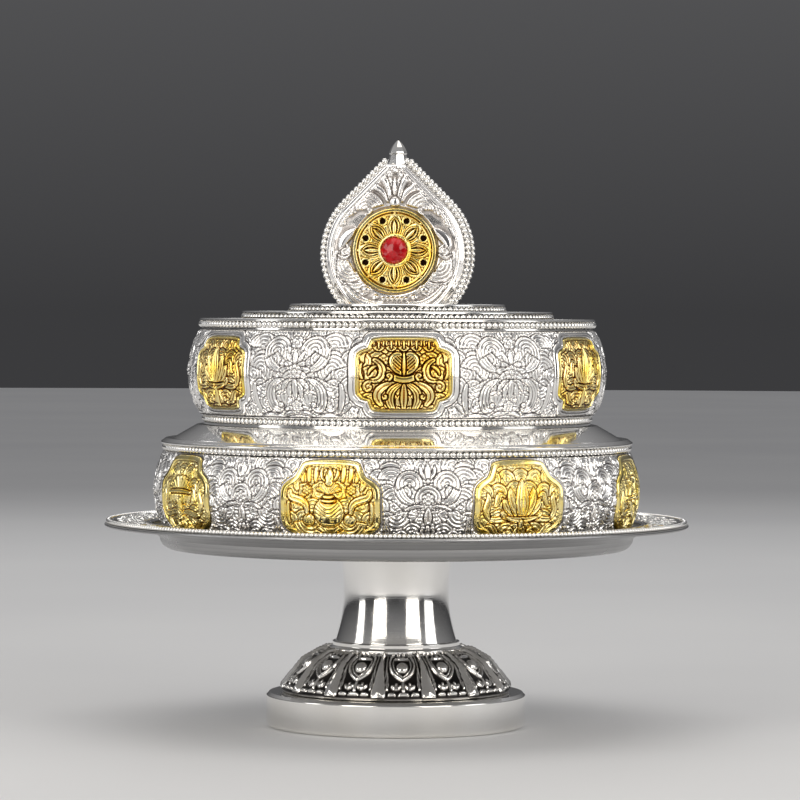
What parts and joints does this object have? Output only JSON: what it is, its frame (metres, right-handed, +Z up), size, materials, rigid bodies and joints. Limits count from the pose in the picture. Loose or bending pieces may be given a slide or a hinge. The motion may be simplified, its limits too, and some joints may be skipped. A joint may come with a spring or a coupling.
{
  "type": "mandala offering set",
  "caption": "Tiered silver and gilt offering set: a footed tray carries an inverted base pan, nested open rings and a jewel-shaped top ornament with a red stone.",
  "frame": {"origin": "centre of the foot's resting face, on the surface that the tray stands on", "axes": "+Z up along the axis of the foot, tray, pan and rings; the top ornament faces -Y; +X to its right"},
  "size_m": [0.2, 0.2, 0.201],
  "materials": {
    "polished_silver": "polished silver plate",
    "relief_silver": "silver plate over stamped relief, darker in the recesses",
    "satin_silver": "spun satin grey",
    "gilt": "bright gilding over stamped relief",
    "red_glass": "faceted red glass",
    "steel": "plated fasteners",
    "felt": "dark red felt"
  },
  "bodies": {
    "footed_tray": {"foot_plinth": "polished_silver", "foot_pad": "felt", "foot_lotus_dome": "relief_silver", "stem_collar": "polished_silver", "stem": "polished_silver", "lower_washer": "steel", "lower_nut": "steel", "upper_washer": "steel", "upper_nut": "steel", "tie_rod": "steel", "tray_dish": "satin_silver", "tray_border": "relief_silver", "tray_edge_beads": "polished_silver"},
    "base_pan": {"pan_foot_ring": "satin_silver", "pan_wall": "relief_silver", "pan_rim": "polished_silver", "pan_rim_beads": "polished_silver", "pan_top_plate": "polished_silver", "pan_gilt_panels": "gilt"},
    "outer_ring": {"outer_ring_wall": "relief_silver", "outer_ring_foot_rim": "polished_silver", "outer_ring_foot_beads": "polished_silver", "outer_ring_top_rim": "polished_silver", "outer_ring_top_beads": "polished_silver", "outer_ring_gilt_panels": "gilt"},
    "middle_ring": {"middle_ring_wall": "relief_silver", "middle_ring_foot_rim": "polished_silver", "middle_ring_foot_beads": "polished_silver", "middle_ring_top_rim": "polished_silver", "middle_ring_top_beads": "polished_silver", "middle_ring_gilt_panels": "gilt"},
    "inner_ring": {"inner_ring_wall": "relief_silver", "inner_ring_foot_rim": "polished_silver", "inner_ring_foot_beads": "polished_silver", "inner_ring_top_rim": "polished_silver", "inner_ring_top_beads": "polished_silver", "inner_ring_gilt_panels": "gilt", "inner_ring_ledge": "satin_silver"},
    "top_ornament": {"ornament_cap": "polished_silver", "ornament_lotus_ring": "polished_silver", "ornament_foot_block": "satin_silver", "ornament_screw": "steel", "ornament_finial": "polished_silver", "ornament_front_shell": "relief_silver", "ornament_front_beads": "polished_silver", "ornament_front_wheel": "gilt", "ornament_front_bezel": "gilt", "ornament_front_stone": "red_glass", "ornament_back_shell": "relief_silver", "ornament_back_beads": "polished_silver", "ornament_back_wheel": "gilt", "ornament_back_bezel": "gilt", "ornament_back_stone": "red_glass"}
  },
  "joints": [
    {"name": "base_pan_lift", "type": "slide", "parent": "footed_tray", "child": "base_pan", "axis": [0, 0, 1], "range_m": [0, 0.05]},
    {"name": "outer_ring_lift", "type": "slide", "parent": "base_pan", "child": "outer_ring", "axis": [0, 0, 1], "range_m": [0, 0.045]},
    {"name": "middle_ring_lift", "type": "slide", "parent": "base_pan", "child": "middle_ring", "axis": [0, 0, 1], "range_m": [0, 0.085]},
    {"name": "inner_ring_lift", "type": "slide", "parent": "base_pan", "child": "inner_ring", "axis": [0, 0, 1], "range_m": [0, 0.125]},
    {"name": "ornament_lift", "type": "slide", "parent": "inner_ring", "child": "top_ornament", "axis": [0, 0, 1], "range_m": [0, 0.05]}
  ]
}
